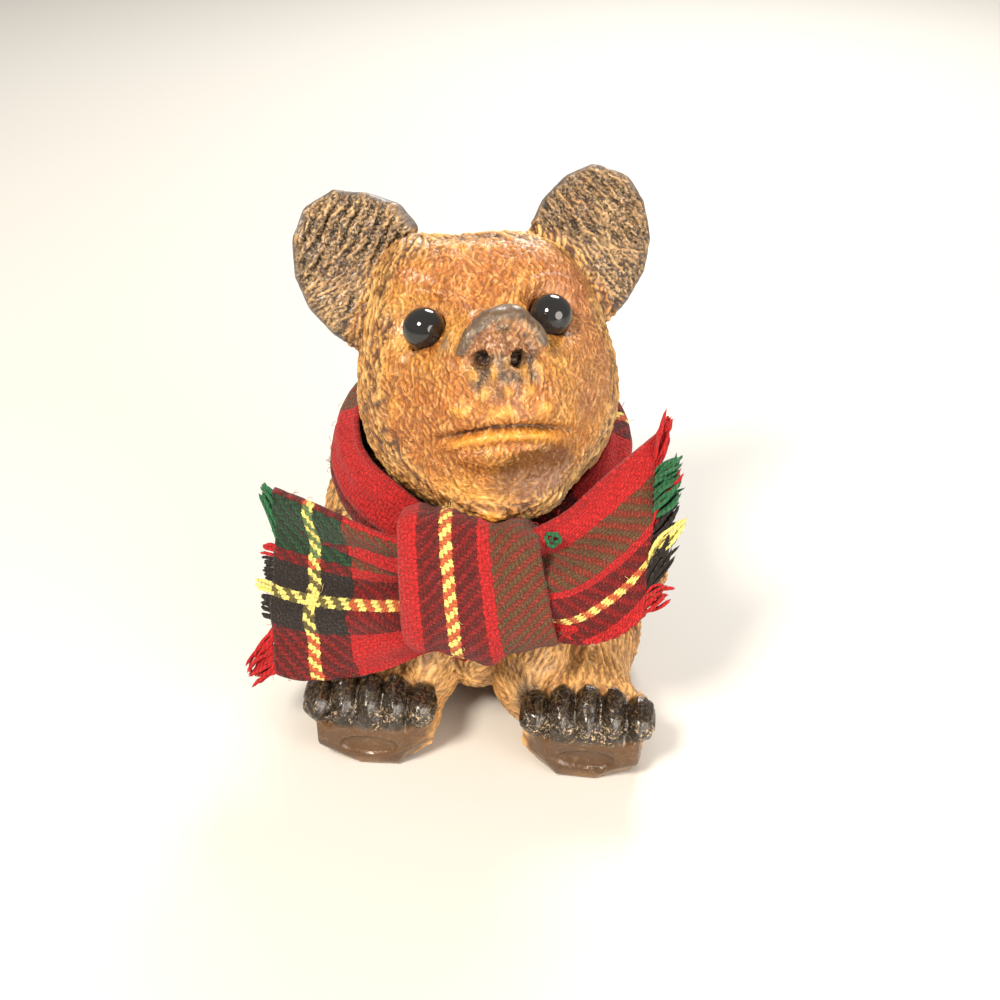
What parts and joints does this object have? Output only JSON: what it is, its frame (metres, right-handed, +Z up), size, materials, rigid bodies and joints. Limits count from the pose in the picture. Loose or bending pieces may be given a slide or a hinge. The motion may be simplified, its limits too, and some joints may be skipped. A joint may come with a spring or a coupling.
{
  "type": "resin bear figurine",
  "caption": "Hand-sized seated bear cub cast in resin and painted like carved wood, with glass bead eyes and a knotted tartan scarf.",
  "frame": {"origin": "middle of the flat underside that the bear sits on", "axes": "+Z up, the bear's legs and scarf knot face -Y, +X is the viewer's right"},
  "size_m": [0.086, 0.077, 0.1011],
  "materials": {
    "resin": "semi-gloss painted resin",
    "eye_glass": "polished black",
    "scarf_wool": "woven wool"
  },
  "bodies": {
    "root": {"bear": "resin", "eye_left": "eye_glass", "eye_right": "eye_glass", "scarf": "scarf_wool"}
  },
  "joints": []
}
